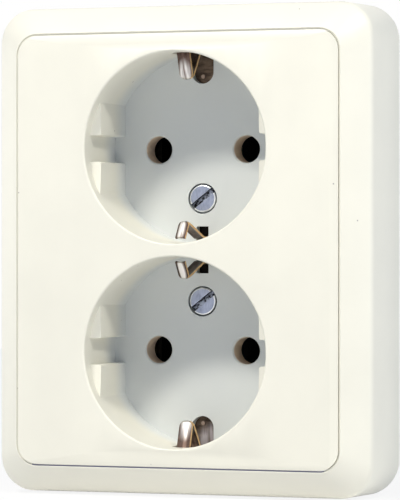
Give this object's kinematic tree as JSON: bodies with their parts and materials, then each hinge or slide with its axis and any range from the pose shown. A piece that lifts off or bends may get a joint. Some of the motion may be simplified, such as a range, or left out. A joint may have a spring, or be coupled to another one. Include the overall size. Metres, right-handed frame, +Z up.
{
  "type": "double earthed wall socket",
  "caption": "Ivory flush wall socket with round recessed earthed wells one above the other in a domed cover plate, inside a bevelled surround frame.",
  "frame": {"origin": "midway between the two fixing holes of the mounting strap, on its rear face in the wall plane", "axes": "+X to the right, +Y into the wall, +Z up"},
  "size_m": [0.0804, 0.0402, 0.0992],
  "materials": {
    "ivory_plastic": "ivory moulded thermoset, satin gloss",
    "base_plastic": "dark grey moulded insulating plastic",
    "strap_steel": "zinc plated pressed steel",
    "zinc_screw": "blue passivated zinc plated steel",
    "rivet_steel": "plain steel, peened",
    "brass": "rolled brass strip, slightly tarnished",
    "nickelled_contact": "nickel plated brass strip with bare brass cut edges"
  },
  "bodies": {
    "socket": {"surround_frame": "ivory_plastic", "socket_cover": "ivory_plastic", "contact_base": "base_plastic", "rear_cover": "base_plastic", "mounting_strap": "strap_steel", "strap_rivets": "rivet_steel", "earth_bar": "brass", "earth_bar_rivets": "rivet_steel", "upper_cover_screw": "zinc_screw", "lower_cover_screw": "zinc_screw", "upper_screw_bush": "brass", "lower_screw_bush": "brass", "left_busbar": "brass", "right_busbar": "brass", "upper_left_pin_clip": "brass", "lower_left_pin_clip": "brass", "upper_right_pin_clip": "brass", "lower_right_pin_clip": "brass", "left_claw_pin": "rivet_steel", "right_claw_pin": "rivet_steel", "left_terminal_clamp": "brass", "right_terminal_clamp": "brass", "earth_terminal_clamp": "brass", "left_terminal_screw": "zinc_screw", "right_terminal_screw": "zinc_screw", "earth_terminal_screw": "zinc_screw"},
    "upper_outer_contact": {"upper_outer_earth_contact": "nickelled_contact"},
    "upper_inner_contact": {"upper_inner_earth_contact": "nickelled_contact"},
    "lower_outer_contact": {"lower_outer_earth_contact": "nickelled_contact"},
    "lower_inner_contact": {"lower_inner_earth_contact": "nickelled_contact"},
    "left_claw": {"left_claw": "strap_steel"},
    "right_claw": {"right_claw": "strap_steel"},
    "left_claw_screw": {"left_claw_screw": "zinc_screw"},
    "right_claw_screw": {"right_claw_screw": "zinc_screw"}
  },
  "joints": [
    {"name": "upper_outer_contact_flex", "type": "hinge", "parent": "socket", "child": "upper_outer_contact", "pos_m": [0, -0.0033, 0.0407], "axis": [-1, 0, 0], "range_deg": [0, 8], "stiffness_Nm_per_rad": 0.5},
    {"name": "upper_inner_contact_flex", "type": "hinge", "parent": "socket", "child": "upper_inner_contact", "pos_m": [0, -0.0033, 0.0026], "axis": [1, 0, 0], "range_deg": [0, 5], "stiffness_Nm_per_rad": 0.3},
    {"name": "lower_outer_contact_flex", "type": "hinge", "parent": "socket", "child": "lower_outer_contact", "pos_m": [0, -0.0033, -0.0407], "axis": [1, 0, 0], "range_deg": [0, 8], "stiffness_Nm_per_rad": 0.5},
    {"name": "lower_inner_contact_flex", "type": "hinge", "parent": "socket", "child": "lower_inner_contact", "pos_m": [0, -0.0033, -0.0026], "axis": [-1, 0, 0], "range_deg": [0, 5], "stiffness_Nm_per_rad": 0.3},
    {"name": "left_claw_screw_travel", "type": "slide", "parent": "socket", "child": "left_claw_screw", "axis": [0, 1, 0], "range_m": [0, 0.0013]},
    {"name": "left_claw_swing", "type": "hinge", "parent": "socket", "child": "left_claw", "pos_m": [-0.0266, 0.0052, 0], "axis": [0, 0, 1], "range_deg": [0, 20.8]},
    {"name": "right_claw_screw_travel", "type": "slide", "parent": "socket", "child": "right_claw_screw", "axis": [0, 1, 0], "range_m": [0, 0.0013]},
    {"name": "right_claw_swing", "type": "hinge", "parent": "socket", "child": "right_claw", "pos_m": [0.0266, 0.0052, 0], "axis": [0, 0, -1], "range_deg": [0, 20.8]}
  ],
  "couplings": [
    {"joint": "left_claw_swing", "follows": "left_claw_screw_travel", "rad_per_m": 277.78},
    {"joint": "right_claw_swing", "follows": "right_claw_screw_travel", "rad_per_m": 277.78}
  ]
}
